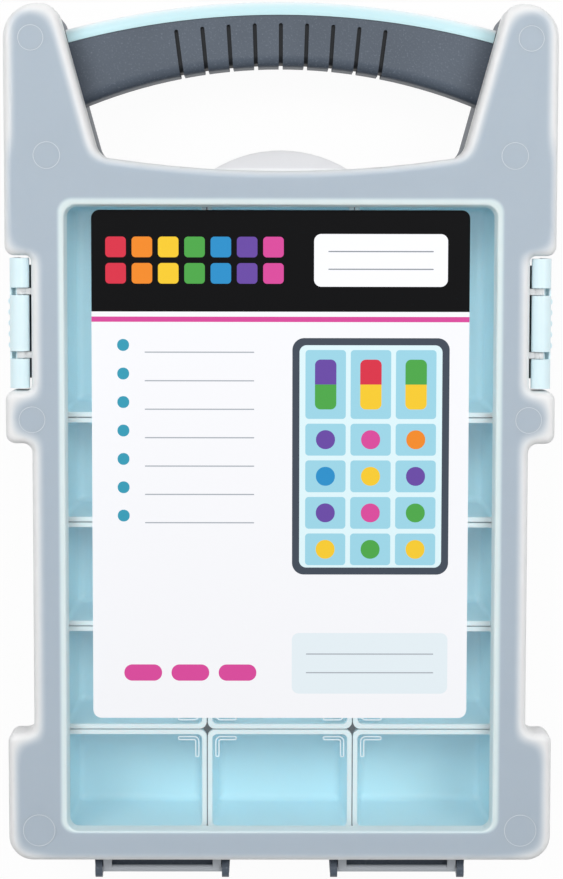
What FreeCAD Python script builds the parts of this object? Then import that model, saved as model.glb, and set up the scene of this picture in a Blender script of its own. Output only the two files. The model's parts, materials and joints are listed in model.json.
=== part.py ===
import FreeCAD, Part
import math
import os

# A carry case for craft parts: a dark base with two arms and a grip between them, a clear lid hinged
# at the far end, two side latches that hang on the lid, and lift-out bins in rows.
# Millimetres. X is across the case, +Y runs to the handle, Z is up, and the base stands on Z = 0.

V = FreeCAD.Vector

# Overall size
overall_length = 373.7
overall_width = 230.0

# Working allowances
overrun = 2.0
fuse_lap = 0.6
tiny = 0.001
least_corner = 0.6
leg_share = 0.96

# Plan of the lid and base, from the hinge end to the handle
ear_radius = 3.8
hinge_setback = 7.15
foot_block_length = 54.9
bump_length = 22.1
latch_recess_length = 56.5
shoulder_length = 41.0
arm_length = 62.9
cap_crown = 2.45
waist_depth = 11.0
latch_recess_depth = 11.0
arm_tip_width = 21.6
arm_root_width = 39.0
hand_edge_sag = 5.4
foot_corner = 10.5
step_corner = 4.0
recess_corner = 2.5
arm_outer_corner = 14.0
arm_inner_corner = 8.0
hand_corner = 8.0

# Heights
foot_gap = 1.5
floor_thickness = 2.5
bin_height = 44.0
bin_stand = 1.0
ledge_drop = 4.0
lid_height = 16.0
window_gap = 2.5

# Base
base_wall = 2.2
base_inset = 0.4
base_draft = 0.6
foot_block_draft = 8.5
bump_draft = 2.5
ledge_width = 4.2
well_wall = 2.4
well_setback = 9.5
side_deck = 10.4
handle_deck = 11.1
well_corner = 3.6
well_clearance = 0.6
deck_edge = 1.2
rib_plate = 1.8
rib_lift = 5.0
rib_plates_per_block = 2
catch_drop = 6.0
catch_height = 3.2
catch_lead = 1.4
catch_reach = 3.8
catch_length = 48.0

# Lid
lid_wall = 2.0
lid_edge_radius = 3.2
window_lap = 4.3
window_slope = 0.9
window_corner = 4.2
window_edge = 0.8
keeper_offset = 4.3
keeper_arm = 9.2
keeper_width = 1.85
keeper_bend = 2.4
keeper_bite = 2.2
keeper_end_share = 0.45
tab_half_width = 28.8
tab_reach = 8.3
tab_thickness = 2.0
tab_lift = 0.4

# Hinge
hinge_inner_x = 21.8
hinge_span = 57.4
ear_thickness = 3.0
ear_gusset = 14.0
ear_top_gap = 0.3
ear_flare = 0.7
shelf_gap = 1.1
shelf_thickness = 2.0
shelf_reach = 2.0
rod_radius = 1.5
rod_clearance = 0.1
rod_end_gap = 0.5
web_width = 3.6
web_side_gap = 0.4

# Latches
latch_end_gap = 1.1
latch_middle = 23.4
latch_notch = 3.15
latch_top_drop = 1.2
knuckle_radius = 4.1
knuckle_wall_gap = 1.0
pin_radius = 1.7
pin_clearance = 0.1
clip_wall = 1.2
clip_room = 0.4
clip_side_gap = 0.25
clip_mouth_share = 0.5
clip_arm = 2.6
plate_thickness = 2.4
plate_drop = 27.0
plate_corner = 5.0
hook_height = 3.0
hook_gap = 0.3
hook_margin = 4.0
grip_bump_count = 5
grip_bump_pitch = 4.6
grip_bump_radius = 1.6
grip_bump_proud = 0.7

# Handle
cap_thickness = 5.8
cap_overhang = 0.6
cap_edge = 4.6
cap_end_gap = 0.5
seam_radius = 346.0
seam_gap = 0.1
grip_depth = 21.4
grip_height = 25.0
grip_drop = 3.0
palm_radius = 221.0
palm_edge = 5.0
grip_tenon = 4.0
socket_gap = 0.2
channel_wall = 3.6
channel_end = 16.0
tongue_depth = 4.0
tongue_gap = 0.2
groove_count = 9
groove_pitch = 11.15
groove_width = 1.7
groove_start = 3.3
groove_depth = 1.5

# Bins and label
column_count = 3
small_row_count = 4
small_row_share = 0.1647
bin_gap = 0.5
bin_corner = 3.0
bin_taper = 2.0
bin_rim_width = 1.9
bin_rim_height = 2.6
bin_lip = 0.6
bin_floor = 1.5
bin_inner_corner = 2.2
bin_inner_fillet = 3.5
bin_outer_fillet = 1.6
bin_foot_setback = 2.2
bin_foot_radius = 2.4
bin_foot_height = 1.0
label_side_margin = 10.1
label_top_margin = 1.2
label_end_margin = 46.7
label_corner = 3.5
label_thickness = 0.3

# Positions that follow from the sizes
half_width = overall_width / 2
hinge_y = ear_radius - overall_length / 2
lid_end_y = hinge_y + hinge_setback
waist_low_y = lid_end_y + foot_block_length
arm_tip_y = overall_length / 2 - cap_crown
hand_y = arm_tip_y - arm_length
recess_high_y = hand_y - shoulder_length
recess_low_y = recess_high_y - latch_recess_length
latch_y = (recess_low_y + recess_high_y) / 2
waist_high_y = recess_low_y - bump_length
waist_half = half_width - waist_depth
recess_half = half_width - latch_recess_depth
hand_half = half_width - arm_root_width
arm_tip_x = half_width - arm_tip_width
arm_lean = (arm_tip_x - hand_half) / arm_length

floor_z = foot_gap + floor_thickness
rim_z = floor_z + bin_height
deck_z = rim_z - bin_stand
ledge_z = deck_z - ledge_drop
lid_top_z = ledge_z + lid_height
window_under_z = rim_z + window_gap
window_top_z = window_under_z + lid_wall

plateau_inset = base_inset + ledge_width
well_half = min(recess_half, waist_half) - side_deck
well_low_y = lid_end_y + well_setback
well_high_y = hand_y - hand_edge_sag - handle_deck
bins_low_y = well_low_y + well_clearance
bins_length = well_high_y - well_clearance - bins_low_y
column_pitch = 2 * (well_half - well_clearance) / column_count
row_pitch = small_row_share * bins_length
large_pitch = bins_length - small_row_count * row_pitch
window_half = well_half - window_lap
window_low_y = well_low_y + window_lap
window_high_y = well_high_y - window_lap

pivot_x = recess_half + knuckle_wall_gap + knuckle_radius
pivot_z = lid_top_z - latch_top_drop - knuckle_radius
latch_half_length = latch_recess_length / 2 - latch_end_gap
notch_offset = (latch_middle + latch_notch) / 2

seam_y = overall_length / 2 - cap_thickness
seam_middle = V(0, seam_y - seam_radius, 0)
palm_middle = V(0, seam_y - grip_depth - palm_radius, 0)
grip_top_z = ledge_z - grip_drop
grip_low_z = grip_top_z - grip_height


def rounded_wire(corners, z):
    """Closed wire through corners of (x, y, radius); a radius gives way where an edge is too short."""
    count = len(corners)
    points = [V(x, y, z) for x, y, radius in corners]
    legs = [points[(i + 1) % count] - points[i] for i in range(count)]
    turns = [legs[i - 1].getAngle(legs[i]) for i in range(count)]
    tangents = [corners[i][2] * math.tan(turns[i] / 2) for i in range(count)]
    fit_shares = [1.0] * count
    for i in range(count):
        following = (i + 1) % count
        room = leg_share * legs[i].Length
        wanted = tangents[i] + tangents[following]
        if wanted > room:
            fit_shares[i] = min(fit_shares[i], room / wanted)
            fit_shares[following] = min(fit_shares[following], room / wanted)
    edges = []
    starts = []
    ends = []
    arcs = []
    for i in range(count):
        into = V(legs[i - 1]).normalize()
        out = V(legs[i]).normalize()
        tangent = tangents[i] * fit_shares[i]
        radius = tangent / math.tan(turns[i] / 2)
        inward = (out - into).normalize()
        starts.append(points[i] - into * tangent)
        ends.append(points[i] + out * tangent)
        middle = points[i] + inward * (radius / math.cos(turns[i] / 2) - radius)
        arcs.append(Part.Arc(starts[i], middle, ends[i]).toShape())
    for i in range(count):
        edges.append(arcs[i])
        edges.append(Part.LineSegment(ends[i], starts[(i + 1) % count]).toShape())
    return Part.Wire(edges)


def inset_corners(corners, inset):
    """The same outline moved inward all round; its corners run anticlockwise."""
    count = len(corners)
    moved = []
    for i in range(count):
        x, y, radius = corners[i]
        before = V(x - corners[i - 1][0], y - corners[i - 1][1], 0).normalize()
        after = V(corners[(i + 1) % count][0] - x, corners[(i + 1) % count][1] - y, 0).normalize()
        normal_before = V(-before.y, before.x, 0)
        normal_after = V(-after.y, after.x, 0)
        shift = (normal_before + normal_after) * (inset / (1 + normal_before.dot(normal_after)))
        bulges_out = before.cross(after).z > 0
        new_radius = radius - inset if bulges_out else radius + inset
        moved.append((x + shift.x, y + shift.y, max(new_radius, least_corner)))
    return moved


def prism(corners, inset, low, high):
    """The outline, moved inward, drawn up from one height to another."""
    face = Part.Face(rounded_wire(inset_corners(corners, inset), low))
    return face.extrude(V(0, 0, high - low))


def tapered(low_corners, high_corners, low, high):
    """A solid whose outline changes evenly between two heights."""
    return Part.makeLoft([rounded_wire(low_corners, low), rounded_wire(high_corners, high)], True, True)


def sloped_box(half_x, half_y, low_inset, high_inset, low, high):
    """A box about the Z axis with flat walls, which lean from one inset to another."""
    box = Part.makeWedge(low_inset - half_x, low, low_inset - half_y, high_inset - half_y,
                         high_inset - half_x, half_x - low_inset, high, half_y - low_inset,
                         half_y - high_inset, half_x - high_inset)
    box.rotate(V(0, 0, 0), V(1, 0, 0), 90)
    return box


def rectangle(half_x, low_y, high_y, radius):
    """Corners of an upright rectangle about X = 0."""
    return [(half_x, low_y, radius), (half_x, high_y, radius),
            (-half_x, high_y, radius), (-half_x, low_y, radius)]


def block(x_range, y_range, z_range):
    """A box between the given limits."""
    corner = V(x_range[0], y_range[0], z_range[0])
    return Part.makeBox(x_range[1] - x_range[0], y_range[1] - y_range[0],
                        z_range[1] - z_range[0], corner)


def cylinder_y(radius, x, z, y_range):
    """A cylinder along Y."""
    return Part.makeCylinder(radius, y_range[1] - y_range[0], V(x, y_range[0], z), V(0, 1, 0))


def cylinder_x(radius, y, z, x_range):
    """A cylinder along X."""
    return Part.makeCylinder(radius, x_range[1] - x_range[0], V(x_range[0], y, z), V(1, 0, 0))


def disc(middle, radius, low, high):
    """A round plate about an upright axis."""
    return Part.makeCylinder(radius, high - low, V(middle.x, middle.y, low))


def side_profile(points, x_low, x_high):
    """A plate across X whose outline is given as (y, z) points."""
    loop = [V(x_low, y, z) for y, z in points]
    face = Part.Face(Part.makePolygon(loop + loop[:1]))
    return face.extrude(V(x_high - x_low, 0, 0))


def end_profile(points, y_low, y_high):
    """A plate along Y whose outline is given as (x, z) points."""
    loop = [V(x, y_low, z) for x, z in points]
    face = Part.Face(Part.makePolygon(loop + loop[:1]))
    return face.extrude(V(0, y_high - y_low, 0))


def mirrored(shape):
    """The same piece on the other side of X = 0."""
    return shape.mirror(V(0, 0, 0), V(1, 0, 0))


def edges_at(shape, z):
    """Edges that lie wholly at one height."""
    return [edge for edge in shape.Edges
            if all(abs(vertex.Z - z) < tiny for vertex in edge.Vertexes)]


def rising_edges(shape):
    """Edges that climb from one height to another."""
    return [edge for edge in shape.Edges if abs(edge.Vertexes[0].Z - edge.Vertexes[-1].Z) > tiny]


def arc_edges(shape, radius):
    """Edges that are arcs of one radius."""
    return [edge for edge in shape.Edges
            if isinstance(edge.Curve, Part.Circle) and abs(edge.Curve.Radius - radius) < tiny]


def case_corners(foot_back=0, bump_back=0):
    """Outline shared by the lid and base, anticlockwise from the hinge end's right corner.

    The end faces of the foot blocks and of the bumps can be drawn back along Y.
    """
    right = [
        (half_width, lid_end_y, foot_corner),
        (half_width, waist_low_y - foot_back, step_corner),
        (waist_half, waist_low_y - foot_back, step_corner),
        (waist_half, waist_high_y + bump_back, step_corner),
        (half_width, waist_high_y + bump_back, step_corner),
        (half_width, recess_low_y - bump_back, step_corner),
        (recess_half, recess_low_y - bump_back, recess_corner),
        (recess_half, recess_high_y, recess_corner),
        (half_width, recess_high_y, step_corner),
        (half_width, arm_tip_y, arm_outer_corner),
        (arm_tip_x, arm_tip_y, arm_inner_corner),
        (hand_half, hand_y, hand_corner),
    ]
    # The hand hole's edge is one long arc: a corner twice as deep as the sag, rounded to its ends.
    edge_turn = math.atan2(2 * hand_edge_sag, hand_half)
    hand_edge_radius = (math.hypot(hand_half, 2 * hand_edge_sag) - hand_corner) / math.tan(edge_turn)
    middle = [(0, hand_y - 2 * hand_edge_sag, hand_edge_radius)]
    left = [(-x, y, radius) for x, y, radius in reversed(right)]
    return right + middle + left


def arm_gap(shift, low, high):
    """The space between the arms' inner faces, widened by a shift to each side."""
    low_y = hand_y
    high_y = overall_length / 2 + overrun
    low_x = hand_half + shift * math.hypot(1, arm_lean)
    high_x = low_x + (high_y - low_y) * arm_lean
    loop = [V(low_x, low_y, low), V(high_x, high_y, low), V(-high_x, high_y, low), V(-low_x, low_y, low)]
    return Part.Face(Part.makePolygon(loop + loop[:1])).extrude(V(0, 0, high - low))


def grip_blank(growth, end_shift):
    """The plain grip bar between its two arcs, grown all round."""
    low = grip_low_z - growth
    high = grip_top_z + growth
    bar = disc(seam_middle, seam_radius + growth, low, high)
    bar = bar.cut(disc(palm_middle, palm_radius - growth, low - overrun, high + overrun))
    bar = bar.common(arm_gap(end_shift + growth, low, high))
    return bar.makeFillet(palm_edge + growth, arc_edges(bar, palm_radius - growth))


def make_base():
    corners = case_corners()
    ground = inset_corners(case_corners(foot_block_draft, bump_draft), base_inset + base_draft)
    outer = tapered(ground, inset_corners(corners, base_inset), 0, ledge_z)
    plateau = prism(corners, plateau_inset, ledge_z - fuse_lap, deck_z)
    plateau = plateau.makeFillet(deck_edge, edges_at(plateau, deck_z))
    hollow = tapered(inset_corners(ground, base_wall), inset_corners(corners, base_inset + base_wall),
                     0, ledge_z - base_wall)
    under = prism(ground, base_wall, -overrun, fuse_lap)
    step = prism(corners, plateau_inset + base_wall, ledge_z - base_wall - fuse_lap, deck_z - base_wall)
    shell = outer.fuse(plateau).cut([hollow, under, step])

    # The well for the bins, closed below by the floor
    well = rectangle(well_half, well_low_y, well_high_y, well_corner)
    well_block = prism(well, -well_wall, foot_gap, deck_z - base_wall / 2)
    well_space = prism(well, 0, floor_z, deck_z + overrun)

    # Stiffening plates under the deck, between the well and the outer wall
    plates = []
    for block_low, block_high in ((lid_end_y, waist_low_y), (recess_high_y, hand_y)):
        for place in range(rib_plates_per_block):
            y = block_low + (block_high - block_low) * (place + 1) / (rib_plates_per_block + 1)
            plate = block((well_half + well_wall / 2, half_width), (y - rib_plate / 2, y + rib_plate / 2),
                          (rib_lift, ledge_z - base_wall / 2))
            plates.append(plate)
    bump_y = (waist_high_y + recess_low_y) / 2
    plates.append(block((well_half + well_wall / 2, half_width),
                        (bump_y - rib_plate / 2, bump_y + rib_plate / 2),
                        (rib_lift, ledge_z - base_wall / 2)))
    inside = tapered(inset_corners(ground, base_wall / 2),
                     inset_corners(corners, base_inset + base_wall / 2), 0, ledge_z)
    plates = [plate.common(inside) for plate in plates]
    plates = plates + [mirrored(plate) for plate in plates]

    # A catch rib under each latch
    catch_top = ledge_z - catch_drop
    catch_low = catch_top - catch_height
    wall_x = recess_half - base_inset
    catch = end_profile([(wall_x - base_wall / 2 - base_draft / 2, catch_top),
                         (wall_x, catch_top),
                         (wall_x + catch_reach, catch_top - catch_lead),
                         (wall_x + catch_reach, catch_low),
                         (wall_x - base_wall / 2 - base_draft / 2, catch_low)],
                        latch_y - catch_length / 2, latch_y + catch_length / 2)

    # Hinge ears beyond the end wall, flared at their roots, with a shelf between them under the rod
    wall_y = lid_end_y + base_inset + base_draft + base_wall / 2
    ear_low = ledge_z - ear_gusset
    shelf_top = ledge_z - rod_radius - shelf_gap
    ears = [side_profile([(wall_y, shelf_top), (hinge_y - shelf_reach, shelf_top),
                          (hinge_y - shelf_reach, shelf_top - shelf_thickness),
                          (wall_y, shelf_top - 2 * shelf_thickness)],
                         hinge_inner_x + ear_thickness / 2, hinge_inner_x + hinge_span - ear_thickness / 2)]
    for x in (hinge_inner_x, hinge_inner_x + hinge_span - ear_thickness):
        gusset = side_profile([(wall_y, ear_low), (wall_y, ledge_z - ear_top_gap),
                               (hinge_y, ledge_z - ear_top_gap),
                               (hinge_y - ear_radius * math.sin(math.pi / 4),
                                ledge_z - ear_radius * math.cos(math.pi / 4))],
                              x - ear_flare, x + ear_thickness + ear_flare)
        plan = [V(x - ear_flare, wall_y, ear_low), V(x, hinge_y - ear_radius, ear_low),
                V(x + ear_thickness, hinge_y - ear_radius, ear_low),
                V(x + ear_thickness + ear_flare, wall_y, ear_low)]
        gusset = gusset.common(Part.Face(Part.makePolygon(plan + plan[:1])).extrude(V(0, 0, ear_gusset)))
        eye = cylinder_x(ear_radius, hinge_y, ledge_z, (x, x + ear_thickness))
        bore = cylinder_x(rod_radius + rod_clearance, hinge_y, ledge_z,
                          (x - overrun, x + ear_thickness + overrun))
        ears.append(gusset.fuse(eye).cut(bore))
    ears = ears + [mirrored(ear) for ear in ears]

    base = shell.fuse([well_block, catch, mirrored(catch)] + plates + ears)
    base = base.cut([well_space, grip_blank(socket_gap, base_inset + base_draft + grip_tenon)])
    return base.removeSplitter()


def make_lid():
    corners = case_corners()
    outer = prism(corners, 0, ledge_z, lid_top_z)
    outer = outer.makeFillet(lid_edge_radius, edges_at(outer, lid_top_z))
    inner = prism(corners, lid_wall, ledge_z - overrun, lid_top_z - lid_wall)
    inner = inner.makeFillet(lid_edge_radius - lid_wall, edges_at(inner, lid_top_z - lid_wall))
    shell = outer.cut(inner)

    # The sunk clear window
    window = rectangle(window_half, window_low_y, window_high_y, window_corner)
    slope_rate = window_slope / (lid_top_z - window_top_z)
    tray_high = lid_top_z - lid_wall / 2
    tray_out = lid_wall + slope_rate * (tray_high - window_top_z)
    pocket_high = lid_top_z + overrun
    pocket_out = slope_rate * (pocket_high - window_top_z)
    tray = tapered(inset_corners(window, -lid_wall), inset_corners(window, -tray_out),
                   window_under_z, tray_high)
    pocket = tapered(window, inset_corners(window, -pocket_out), window_top_z, pocket_high)
    shell = shell.fuse(tray).cut(pocket)
    shell = shell.makeFillet(window_edge, pocket_rim_edges(shell))

    # Keepers under the window: four round each crossing of the bins
    keepers = []
    start = keeper_offset - keeper_width / 2
    end = start + keeper_arm
    back = start + keeper_width
    end_radius = keeper_end_share * keeper_width
    for column in range(1, column_count):
        for row in range(1, small_row_count + 1):
            x = (column - column_count / 2) * column_pitch
            y = bins_low_y + row * row_pitch
            for side in (-1, 1):
                for way in (-1, 1):
                    bend = [(start, start, keeper_bend), (end, start, end_radius),
                            (end, back, end_radius), (back, back, least_corner),
                            (back, end, end_radius), (start, end, end_radius)]
                    placed = [(x + side * a, y + way * b, radius) for a, b, radius in bend]
                    wire = rounded_wire(placed, rim_z - keeper_bite)
                    height = window_under_z + fuse_lap - rim_z + keeper_bite
                    keepers.append(Part.Face(wire).extrude(V(0, 0, height)))

    # Hinge rods held by webs beyond the end wall
    rods = []
    for side in (-1, 1):
        low_x = hinge_inner_x + rod_end_gap
        high_x = hinge_inner_x + hinge_span - rod_end_gap
        span = (low_x, high_x) if side > 0 else (-high_x, -low_x)
        rods.append(cylinder_x(rod_radius, hinge_y, ledge_z, span))
        inner_web = hinge_inner_x + ear_thickness + web_side_gap
        outer_web = hinge_inner_x + hinge_span - ear_thickness - web_side_gap - web_width
        for x in (inner_web, outer_web):
            low = x if side > 0 else -x - web_width
            rods.append(side_profile([(lid_end_y + lid_wall / 2, ledge_z),
                                      (lid_end_y + lid_wall / 2, ledge_z + 2 * rod_radius),
                                      (hinge_y, ledge_z + rod_radius),
                                      (hinge_y, ledge_z - rod_radius / 2),
                                      (hinge_y + rod_radius, ledge_z)],
                                     low, low + web_width))

    # Clips that hold the latch pins
    clips = []
    clip_half = latch_notch / 2 - clip_side_gap
    bore_radius = pin_radius + pin_clearance
    ring_radius = bore_radius + clip_wall
    for way in (-1, 1):
        y = latch_y + way * notch_offset
        span = (y - clip_half, y + clip_half)
        ring = cylinder_y(ring_radius, pivot_x, pivot_z, span)
        arm = block((recess_half - lid_wall / 2, pivot_x), span,
                    (pivot_z - clip_arm / 2, pivot_z + clip_arm / 2))
        bore = cylinder_y(bore_radius, pivot_x, pivot_z, (span[0] - overrun, span[1] + overrun))
        mouth = block((pivot_x + clip_mouth_share * bore_radius, pivot_x + knuckle_radius),
                      (span[0] - overrun, span[1] + overrun),
                      (pivot_z - knuckle_radius, pivot_z + knuckle_radius))
        clips.append(ring.fuse(arm).cut([bore, mouth]))
    clips = clips + [mirrored(clip) for clip in clips]

    # The thumb tab at the hand hole
    edge_y = hand_y - hand_edge_sag
    tab_radius = (tab_half_width ** 2 + tab_reach ** 2) / (2 * tab_reach)
    tab_middle = V(0, edge_y + tab_reach - tab_radius, 0)
    tab_low = ledge_z + tab_lift
    tab = disc(tab_middle, tab_radius, tab_low, tab_low + tab_thickness)
    tab = tab.common(block((-tab_radius, tab_radius), (edge_y - lid_wall / 2, edge_y + tab_reach + overrun),
                           (tab_low, tab_low + tab_thickness)))

    lid = shell.fuse(keepers + rods + clips + [tab])
    return lid.removeSplitter()


def pocket_rim_edges(shell):
    """Top edges of the sunk window."""
    reach_x = window_half + window_slope + tiny
    reach_low = window_low_y - window_slope - tiny
    reach_high = window_high_y + window_slope + tiny
    return [edge for edge in edges_at(shell, lid_top_z)
            if all(abs(vertex.X) < reach_x and reach_low < vertex.Y < reach_high
                   for vertex in edge.Vertexes)]


def make_label():
    sheet = rectangle(window_half - label_side_margin, window_low_y + label_end_margin,
                      window_high_y - label_top_margin, label_corner)
    return prism(sheet, 0, window_top_z, window_top_z + label_thickness)


def make_latch():
    """The latch on the right side, hanging closed."""
    low_y = latch_y - latch_half_length
    high_y = latch_y + latch_half_length
    plate_out = pivot_x + knuckle_radius
    plate_in = plate_out - plate_thickness
    plate_low = pivot_z - plate_drop
    knuckle = cylinder_y(knuckle_radius, pivot_x, pivot_z, (low_y, high_y))
    plate = block((plate_in, plate_out), (low_y, high_y), (plate_low, pivot_z))
    corner_edges = [edge for edge in plate.Edges
                    if edge.Vertexes[0].Z < plate_low + tiny and edge.Vertexes[1].Z < plate_low + tiny
                    and abs(edge.Vertexes[0].X - edge.Vertexes[1].X) > tiny]
    plate = plate.makeFillet(plate_corner, corner_edges)

    # The hook bar passes just outside the catch
    catch_low = ledge_z - catch_drop - catch_height
    hook_tip = recess_half - base_inset + catch_reach + hook_gap
    hook_top = catch_low - hook_gap
    hook = end_profile([(plate_in + fuse_lap, hook_top + hook_gap), (hook_tip, hook_top),
                        (hook_tip, hook_top - hook_height / 2),
                        (plate_in + fuse_lap, hook_top - hook_height)],
                       low_y + hook_margin, high_y - hook_margin)
    bumps = []
    for place in range(grip_bump_count):
        y = latch_y + (place - (grip_bump_count - 1) / 2) * grip_bump_pitch
        x = plate_out + grip_bump_proud - grip_bump_radius
        height = plate_drop - plate_corner
        bump = Part.makeCylinder(grip_bump_radius, height, V(x, y, pivot_z - height))
        clear = block((plate_in + plate_thickness / 2, plate_out + grip_bump_radius),
                      (y - grip_bump_radius, y + grip_bump_radius), (pivot_z - height, pivot_z))
        bumps.append(bump.common(clear))
    body = knuckle.fuse([plate, hook] + bumps)

    # Notches for the lid's clips, crossed by the pin
    room = pin_radius + pin_clearance + clip_wall + clip_room
    cuts = []
    pins = []
    for way in (-1, 1):
        y = latch_y + way * notch_offset
        span = (y - latch_notch / 2, y + latch_notch / 2)
        cuts.append(cylinder_y(room, pivot_x, pivot_z, span))
        cuts.append(block((pivot_x - knuckle_radius - overrun, plate_out + overrun), span,
                          (pivot_z, pivot_z + knuckle_radius + overrun)))
        cuts.append(block((pivot_x - knuckle_radius - overrun, pivot_x), span,
                          (pivot_z - clip_arm / 2 - clip_wall, pivot_z)))
        pins.append(cylinder_y(pin_radius, pivot_x, pivot_z, (span[0] - fuse_lap, span[1] + fuse_lap)))
    return body.cut(cuts).fuse(pins).removeSplitter()


def make_grip():
    end_shift = base_inset + base_draft + grip_tenon
    grip = grip_blank(0, end_shift)

    # A channel open to the outer side, closed by the cap
    channel_low = grip_low_z + channel_wall
    channel_high = grip_top_z - channel_wall
    channel = disc(seam_middle, seam_radius + overrun, channel_low, channel_high)
    channel = channel.cut(disc(palm_middle, palm_radius + channel_wall + groove_depth,
                               channel_low - overrun, channel_high + overrun))
    channel = channel.common(arm_gap(-channel_end, channel_low, channel_high))

    # Finger grooves that run over the front, the palm side and the back
    core = disc(seam_middle, seam_radius + overrun, grip_low_z + groove_depth, grip_top_z - groove_depth)
    core = core.cut(disc(palm_middle, palm_radius + groove_depth, grip_low_z, grip_top_z))
    core = core.common(arm_gap(end_shift + overrun, grip_low_z, grip_top_z))
    core = core.makeFillet(palm_edge - groove_depth, arc_edges(core, palm_radius + groove_depth))
    grooves = []
    groove_top = seam_radius - groove_start
    groove_low = seam_radius - 2 * grip_depth
    for place in range(groove_count):
        turn = math.degrees((place - (groove_count - 1) / 2) * groove_pitch / seam_radius)
        slot = block((-groove_width / 2, groove_width / 2), (groove_low, groove_top - groove_width / 2),
                     (grip_low_z - overrun, grip_top_z + overrun))
        slot_end = disc(V(0, groove_top - groove_width / 2, 0), groove_width / 2,
                        grip_low_z - overrun, grip_top_z + overrun)
        groove = slot.fuse(slot_end).cut(core_in_place(core, turn))
        groove.rotate(V(0, 0, 0), V(0, 0, 1), -turn)
        groove.translate(seam_middle)
        grooves.append(groove)
    return grip.cut([channel] + grooves).removeSplitter()


def core_in_place(core, turn):
    """The grip's core as seen from one groove, which is drawn upright before it is turned."""
    seen = core.copy()
    seen.translate(seam_middle * -1)
    seen.rotate(V(0, 0, 0), V(0, 0, 1), turn)
    return seen


def make_cap():
    low = grip_low_z - cap_overhang
    high = grip_top_z + cap_overhang
    cap = disc(seam_middle, seam_radius + cap_thickness, low, high)
    cap = cap.makeFillet(cap_edge, arc_edges(cap, seam_radius + cap_thickness))
    cap = cap.cut(disc(seam_middle, seam_radius + seam_gap, low - overrun, high + overrun))
    cap = cap.common(arm_gap(base_inset - cap_end_gap, low, high))

    # A tongue fits the grip's channel
    tongue_low = grip_low_z + channel_wall + tongue_gap
    tongue_high = grip_top_z - channel_wall - tongue_gap
    tongue = disc(seam_middle, seam_radius + seam_gap + fuse_lap, tongue_low, tongue_high)
    tongue = tongue.cut(disc(seam_middle, seam_radius - tongue_depth, low, high))
    tongue = tongue.common(arm_gap(-channel_end - tongue_gap, tongue_low, tongue_high))
    return cap.fuse(tongue).removeSplitter()


def make_bin(pitch):
    """One lift-out bin about X = 0, from Y = 0 to its pitch, standing on Z = 0."""
    half_x = (column_pitch - bin_gap) / 2
    half_y = (pitch - bin_gap) / 2
    rim = rectangle(half_x, -half_y, half_y, bin_corner)
    lip = prism(rim, 0, bin_height - bin_rim_height, bin_height)
    body = sloped_box(half_x, half_y, bin_lip + bin_taper, bin_lip, bin_foot_height, bin_height)
    body = body.makeFillet(bin_corner - bin_lip, rising_edges(body))
    body = body.makeFillet(bin_outer_fillet, edges_at(body, bin_foot_height))

    # The inside keeps the same lean as the outer wall
    lean = bin_taper / (bin_height - bin_foot_height)
    inner_low = bin_foot_height + bin_floor
    inner_high = bin_height + overrun
    inside = sloped_box(half_x, half_y, bin_rim_width + lean * (bin_height - inner_low),
                        bin_rim_width - lean * overrun, inner_low, inner_high)
    inside = inside.makeFillet(bin_inner_corner, rising_edges(inside))
    inside = inside.makeFillet(bin_inner_fillet, edges_at(inside, inner_low))

    feet = []
    foot_inset = bin_lip + bin_taper + bin_foot_setback + bin_foot_radius
    for x, y, radius in inset_corners(rim, foot_inset):
        feet.append(Part.makeCylinder(bin_foot_radius, bin_foot_height + bin_floor / 2, V(x, y, 0)))
    made = body.fuse([lip] + feet).cut(inside).removeSplitter()
    made.translate(V(0, half_y + bin_gap / 2, 0))
    return made


def placed(shape, x, y, z):
    """A copy of a piece moved to its place."""
    copy = shape.copy()
    copy.translate(V(x, y, z))
    return copy


os.makedirs("parts", exist_ok=True)

latch = make_latch()
pieces = {
    "base_tray": make_base(),
    "handle_grip": make_grip(),
    "handle_cap": make_cap(),
    "lid": make_lid(),
    "label_sheet": make_label(),
    "latch_left": mirrored(latch),
    "latch_right": latch,
}
small_bin = make_bin(row_pitch)
large_bin = make_bin(large_pitch)
for column in range(column_count):
    x = (column - (column_count - 1) / 2) * column_pitch
    for row in range(small_row_count):
        y = bins_low_y + row * row_pitch
        pieces[f"small_bin_{row + 1}_{column + 1}"] = placed(small_bin, x, y, floor_z)
    large_y = bins_low_y + small_row_count * row_pitch
    pieces[f"large_bin_{column + 1}"] = placed(large_bin, x, large_y, floor_z)

for name, shape in pieces.items():
    shape.exportStep(f"parts/{name}.step")
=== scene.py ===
# %% [markdown]
# # A craft carry case with lift-out bins
# The case is a dark moulded base with a handle, a see-through lid on a hinge, two side latches and
# fifteen loose bins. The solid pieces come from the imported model, at their real size and place.
# This lesson gives them their finishes, splits the lid into its frosted border and its clear window,
# rounds the grip's edges, adds the rings that moulding leaves, and sets up the light and the camera.

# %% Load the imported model
import json
import math
import bpy
from mathutils import Matrix, Vector


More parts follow.
